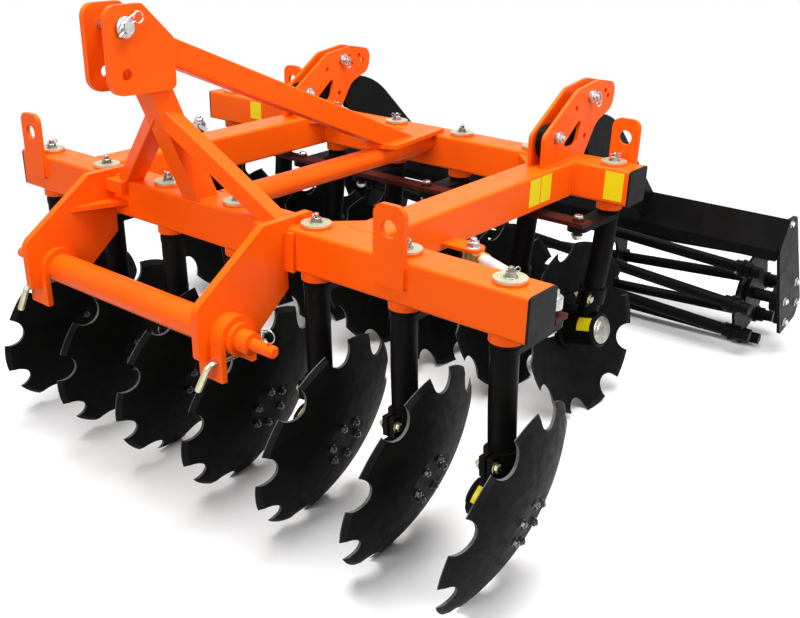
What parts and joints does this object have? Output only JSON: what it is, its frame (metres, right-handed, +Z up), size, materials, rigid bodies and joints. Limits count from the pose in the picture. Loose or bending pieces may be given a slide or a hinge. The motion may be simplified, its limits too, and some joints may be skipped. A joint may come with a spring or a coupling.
{
  "type": "disc harrow",
  "caption": "Mounted compact disc harrow: notched discs on turning legs in staggered rows, three-point hitch in front, tube roller behind, orange and black.",
  "frame": {"origin": "On the ground under the middle of the machine's overall box, in X and Y.", "axes": "+X to the machine's left across its width, +Y to the rear (the hitch faces -Y), +Z up."},
  "size_m": [2.0424, 2.2611, 1.23],
  "materials": {
    "orange_paint": "gloss orange paint on steel",
    "black_paint": "satin black paint on steel",
    "dark_steel": "black painted boron steel with ground bevels",
    "red_brown_paint": "dark red-brown primer on flat bar",
    "white_paint": "white paint on steel tube",
    "zinc": "bright zinc plate",
    "yellow_zinc": "pale yellow zinc plate",
    "black_plastic": "moulded black plug"
  },
  "bodies": {
    "frame": {"front_beam": "orange_paint", "rear_beam": "orange_paint", "side_beam_left": "orange_paint", "side_beam_right": "orange_paint", "beam_end_caps": "black_plastic", "corner_gussets": "orange_paint", "centre_tube": "orange_paint", "centre_plate": "orange_paint", "lifting_lugs": "orange_paint", "hitch_plate_left": "orange_paint", "hitch_plate_right": "orange_paint", "cross_shaft": "orange_paint", "shaft_lock_pins": "yellow_zinc", "mast_post": "orange_paint", "mast_struts": "orange_paint", "clevis_plates": "orange_paint", "top_link_pin": "zinc", "top_stay": "orange_paint", "quadrant_left": "orange_paint", "quadrant_right": "orange_paint", "quadrant_bolts": "zinc", "turnbuckle_brackets": "orange_paint"},
    "front_leg_1": {"front_leg_1": "black_paint"},
    "front_disc_1": {"front_disc_1": "dark_steel"},
    "front_leg_2": {"front_leg_2": "black_paint"},
    "front_disc_2": {"front_disc_2": "dark_steel"},
    "front_leg_3": {"front_leg_3": "black_paint"},
    "front_disc_3": {"front_disc_3": "dark_steel"},
    "front_leg_4": {"front_leg_4": "black_paint"},
    "front_disc_4": {"front_disc_4": "dark_steel"},
    "front_leg_5": {"front_leg_5": "black_paint"},
    "front_disc_5": {"front_disc_5": "dark_steel"},
    "front_leg_6": {"front_leg_6": "black_paint"},
    "front_disc_6": {"front_disc_6": "dark_steel"},
    "front_leg_7": {"front_leg_7": "black_paint"},
    "front_disc_7": {"front_disc_7": "dark_steel"},
    "front_tie_bar": {"front_tie_bar": "red_brown_paint"},
    "front_turnbuckle": {"front_turnbuckle": "white_paint"},
    "front_turnbuckle_rod": {"front_turnbuckle_rod": "zinc"},
    "rear_leg_1": {"rear_leg_1": "black_paint"},
    "rear_disc_1": {"rear_disc_1": "dark_steel"},
    "rear_leg_2": {"rear_leg_2": "black_paint"},
    "rear_disc_2": {"rear_disc_2": "dark_steel"},
    "rear_leg_3": {"rear_leg_3": "black_paint"},
    "rear_disc_3": {"rear_disc_3": "dark_steel"},
    "rear_leg_4": {"rear_leg_4": "black_paint"},
    "rear_disc_4": {"rear_disc_4": "dark_steel"},
    "rear_leg_5": {"rear_leg_5": "black_paint"},
    "rear_disc_5": {"rear_disc_5": "dark_steel"},
    "rear_leg_6": {"rear_leg_6": "black_paint"},
    "rear_disc_6": {"rear_disc_6": "dark_steel"},
    "rear_leg_7": {"rear_leg_7": "black_paint"},
    "rear_disc_7": {"rear_disc_7": "dark_steel"},
    "rear_tie_bar": {"rear_tie_bar": "red_brown_paint"},
    "rear_turnbuckle": {"rear_turnbuckle": "white_paint"},
    "rear_turnbuckle_rod": {"rear_turnbuckle_rod": "zinc"},
    "roller_frame": {"roller_arms": "black_paint", "roller_deflector": "black_paint", "roller_side_plates": "black_paint"},
    "roller": {"roller": "black_paint"}
  },
  "joints": [
    {"name": "front_leg_1_attack", "type": "hinge", "parent": "frame", "child": "front_leg_1", "pos_m": [-0.636, -0.7958, 0.71], "axis": [0, 0, 1], "range_deg": [-6, 19]},
    {"name": "front_disc_1_spin", "type": "hinge", "parent": "front_leg_1", "child": "front_disc_1", "pos_m": [-0.603, -0.8078, 0.25328], "axis": [0.967, 0.1016, -0.2334], "continuous": true},
    {"name": "front_leg_2_attack", "type": "hinge", "parent": "frame", "child": "front_leg_2", "pos_m": [-0.379, -0.7958, 0.71], "axis": [0, 0, 1], "range_deg": [-6, 19]},
    {"name": "front_disc_2_spin", "type": "hinge", "parent": "front_leg_2", "child": "front_disc_2", "pos_m": [-0.346, -0.8078, 0.25328], "axis": [0.967, 0.1016, -0.2334], "continuous": true},
    {"name": "front_leg_3_attack", "type": "hinge", "parent": "frame", "child": "front_leg_3", "pos_m": [-0.122, -0.7958, 0.71], "axis": [0, 0, 1], "range_deg": [-6, 19]},
    {"name": "front_disc_3_spin", "type": "hinge", "parent": "front_leg_3", "child": "front_disc_3", "pos_m": [-0.089, -0.8078, 0.25328], "axis": [0.967, 0.1016, -0.2334], "continuous": true},
    {"name": "front_leg_4_attack", "type": "hinge", "parent": "frame", "child": "front_leg_4", "pos_m": [0.135, -0.7958, 0.71], "axis": [0, 0, 1], "range_deg": [-6, 19]},
    {"name": "front_disc_4_spin", "type": "hinge", "parent": "front_leg_4", "child": "front_disc_4", "pos_m": [0.168, -0.8078, 0.25328], "axis": [0.967, 0.1016, -0.2334], "continuous": true},
    {"name": "front_leg_5_attack", "type": "hinge", "parent": "frame", "child": "front_leg_5", "pos_m": [0.392, -0.7958, 0.71], "axis": [0, 0, 1], "range_deg": [-6, 19]},
    {"name": "front_disc_5_spin", "type": "hinge", "parent": "front_leg_5", "child": "front_disc_5", "pos_m": [0.425, -0.8078, 0.25328], "axis": [0.967, 0.1016, -0.2334], "continuous": true},
    {"name": "front_leg_6_attack", "type": "hinge", "parent": "frame", "child": "front_leg_6", "pos_m": [0.649, -0.7958, 0.71], "axis": [0, 0, 1], "range_deg": [-6, 19]},
    {"name": "front_disc_6_spin", "type": "hinge", "parent": "front_leg_6", "child": "front_disc_6", "pos_m": [0.682, -0.8078, 0.25328], "axis": [0.967, 0.1016, -0.2334], "continuous": true},
    {"name": "front_leg_7_attack", "type": "hinge", "parent": "frame", "child": "front_leg_7", "pos_m": [0.906, -0.7958, 0.71], "axis": [0, 0, 1], "range_deg": [-6, 19]},
    {"name": "front_disc_7_spin", "type": "hinge", "parent": "front_leg_7", "child": "front_disc_7", "pos_m": [0.939, -0.8078, 0.25328], "axis": [0.967, 0.1016, -0.2334], "continuous": true},
    {"name": "front_tie_bar_swing", "type": "hinge", "parent": "front_leg_4", "child": "front_tie_bar", "pos_m": [0.135, -0.6208, 0.62], "axis": [0, 0, 1], "range_deg": [-20, 7]},
    {"name": "front_turnbuckle_swing", "type": "hinge", "parent": "frame", "child": "front_turnbuckle", "pos_m": [0.615, -0.4898, 0.663], "axis": [0, 0, 1], "range_deg": [-6.89, 2.86]},
    {"name": "front_turnbuckle_rod_screw", "type": "slide", "parent": "front_turnbuckle", "child": "front_turnbuckle_rod", "axis": [0.9119, -0.4105, 0], "range_m": [-0.0511, 0.0182]},
    {"name": "rear_leg_1_attack", "type": "hinge", "parent": "frame", "child": "rear_leg_1", "pos_m": [-0.906, 0.1612, 0.71], "axis": [0, 0, -1], "range_deg": [-6, 19]},
    {"name": "rear_disc_1_spin", "type": "hinge", "parent": "rear_leg_1", "child": "rear_disc_1", "pos_m": [-0.939, 0.1492, 0.25328], "axis": [-0.967, 0.1016, -0.2334], "continuous": true},
    {"name": "rear_leg_2_attack", "type": "hinge", "parent": "frame", "child": "rear_leg_2", "pos_m": [-0.649, 0.1612, 0.71], "axis": [0, 0, -1], "range_deg": [-6, 19]},
    {"name": "rear_disc_2_spin", "type": "hinge", "parent": "rear_leg_2", "child": "rear_disc_2", "pos_m": [-0.682, 0.1492, 0.25328], "axis": [-0.967, 0.1016, -0.2334], "continuous": true},
    {"name": "rear_leg_3_attack", "type": "hinge", "parent": "frame", "child": "rear_leg_3", "pos_m": [-0.392, 0.1612, 0.71], "axis": [0, 0, -1], "range_deg": [-6, 19]},
    {"name": "rear_disc_3_spin", "type": "hinge", "parent": "rear_leg_3", "child": "rear_disc_3", "pos_m": [-0.425, 0.1492, 0.25328], "axis": [-0.967, 0.1016, -0.2334], "continuous": true},
    {"name": "rear_leg_4_attack", "type": "hinge", "parent": "frame", "child": "rear_leg_4", "pos_m": [-0.135, 0.1612, 0.71], "axis": [0, 0, -1], "range_deg": [-6, 19]},
    {"name": "rear_disc_4_spin", "type": "hinge", "parent": "rear_leg_4", "child": "rear_disc_4", "pos_m": [-0.168, 0.1492, 0.25328], "axis": [-0.967, 0.1016, -0.2334], "continuous": true},
    {"name": "rear_leg_5_attack", "type": "hinge", "parent": "frame", "child": "rear_leg_5", "pos_m": [0.122, 0.1612, 0.71], "axis": [0, 0, -1], "range_deg": [-6, 19]},
    {"name": "rear_disc_5_spin", "type": "hinge", "parent": "rear_leg_5", "child": "rear_disc_5", "pos_m": [0.089, 0.1492, 0.25328], "axis": [-0.967, 0.1016, -0.2334], "continuous": true},
    {"name": "rear_leg_6_attack", "type": "hinge", "parent": "frame", "child": "rear_leg_6", "pos_m": [0.379, 0.1612, 0.71], "axis": [0, 0, -1], "range_deg": [-6, 19]},
    {"name": "rear_disc_6_spin", "type": "hinge", "parent": "rear_leg_6", "child": "rear_disc_6", "pos_m": [0.346, 0.1492, 0.25328], "axis": [-0.967, 0.1016, -0.2334], "continuous": true},
    {"name": "rear_leg_7_attack", "type": "hinge", "parent": "frame", "child": "rear_leg_7", "pos_m": [0.636, 0.1612, 0.71], "axis": [0, 0, -1], "range_deg": [-6, 19]},
    {"name": "rear_disc_7_spin", "type": "hinge", "parent": "rear_leg_7", "child": "rear_disc_7", "pos_m": [0.603, 0.1492, 0.25328], "axis": [-0.967, 0.1016, -0.2334], "continuous": true},
    {"name": "rear_tie_bar_swing", "type": "hinge", "parent": "rear_leg_4", "child": "rear_tie_bar", "pos_m": [-0.135, -0.0138, 0.62], "axis": [0, 0, -1], "range_deg": [-20, 7]},
    {"name": "rear_turnbuckle_swing", "type": "hinge", "parent": "frame", "child": "rear_turnbuckle", "pos_m": [-0.573, -0.1448, 0.663], "axis": [0, 0, 1], "range_deg": [-1.66, 3.09]},
    {"name": "rear_turnbuckle_rod_screw", "type": "slide", "parent": "rear_turnbuckle", "child": "rear_turnbuckle_rod", "axis": [-0.9306, 0.3661, 0], "range_m": [-0.0206, 0.0587]},
    {"name": "roller_frame_lift", "type": "hinge", "parent": "frame", "child": "roller_frame", "pos_m": [0.021, 0.0422, 0.836], "axis": [1, 0, 0], "range_deg": [-9, 13]},
    {"name": "roller_spin", "type": "hinge", "parent": "roller_frame", "child": "roller", "pos_m": [0.021, 0.9392, 0.19135], "axis": [1, 0, 0], "continuous": true}
  ],
  "couplings": [
    {"joint": "front_leg_1_attack", "follows": "front_leg_4_attack", "ratio": 1},
    {"joint": "front_leg_2_attack", "follows": "front_leg_4_attack", "ratio": 1},
    {"joint": "front_leg_3_attack", "follows": "front_leg_4_attack", "ratio": 1},
    {"joint": "front_leg_5_attack", "follows": "front_leg_4_attack", "ratio": 1},
    {"joint": "front_leg_6_attack", "follows": "front_leg_4_attack", "ratio": 1},
    {"joint": "front_leg_7_attack", "follows": "front_leg_4_attack", "ratio": 1},
    {"joint": "front_tie_bar_swing", "follows": "front_leg_4_attack", "ratio": -1},
    {"joint": "front_turnbuckle_swing", "follows": "front_leg_4_attack", "ratio": -0.31},
    {"joint": "front_turnbuckle_rod_screw", "follows": "front_leg_4_attack", "m_per_rad": -0.145},
    {"joint": "rear_leg_1_attack", "follows": "rear_leg_4_attack", "ratio": 1},
    {"joint": "rear_leg_2_attack", "follows": "rear_leg_4_attack", "ratio": 1},
    {"joint": "rear_leg_3_attack", "follows": "rear_leg_4_attack", "ratio": 1},
    {"joint": "rear_leg_5_attack", "follows": "rear_leg_4_attack", "ratio": 1},
    {"joint": "rear_leg_6_attack", "follows": "rear_leg_4_attack", "ratio": 1},
    {"joint": "rear_leg_7_attack", "follows": "rear_leg_4_attack", "ratio": 1},
    {"joint": "rear_tie_bar_swing", "follows": "rear_leg_4_attack", "ratio": -1},
    {"joint": "rear_turnbuckle_swing", "follows": "rear_leg_4_attack", "ratio": 0.11},
    {"joint": "rear_turnbuckle_rod_screw", "follows": "rear_leg_4_attack", "m_per_rad": 0.168}
  ]
}
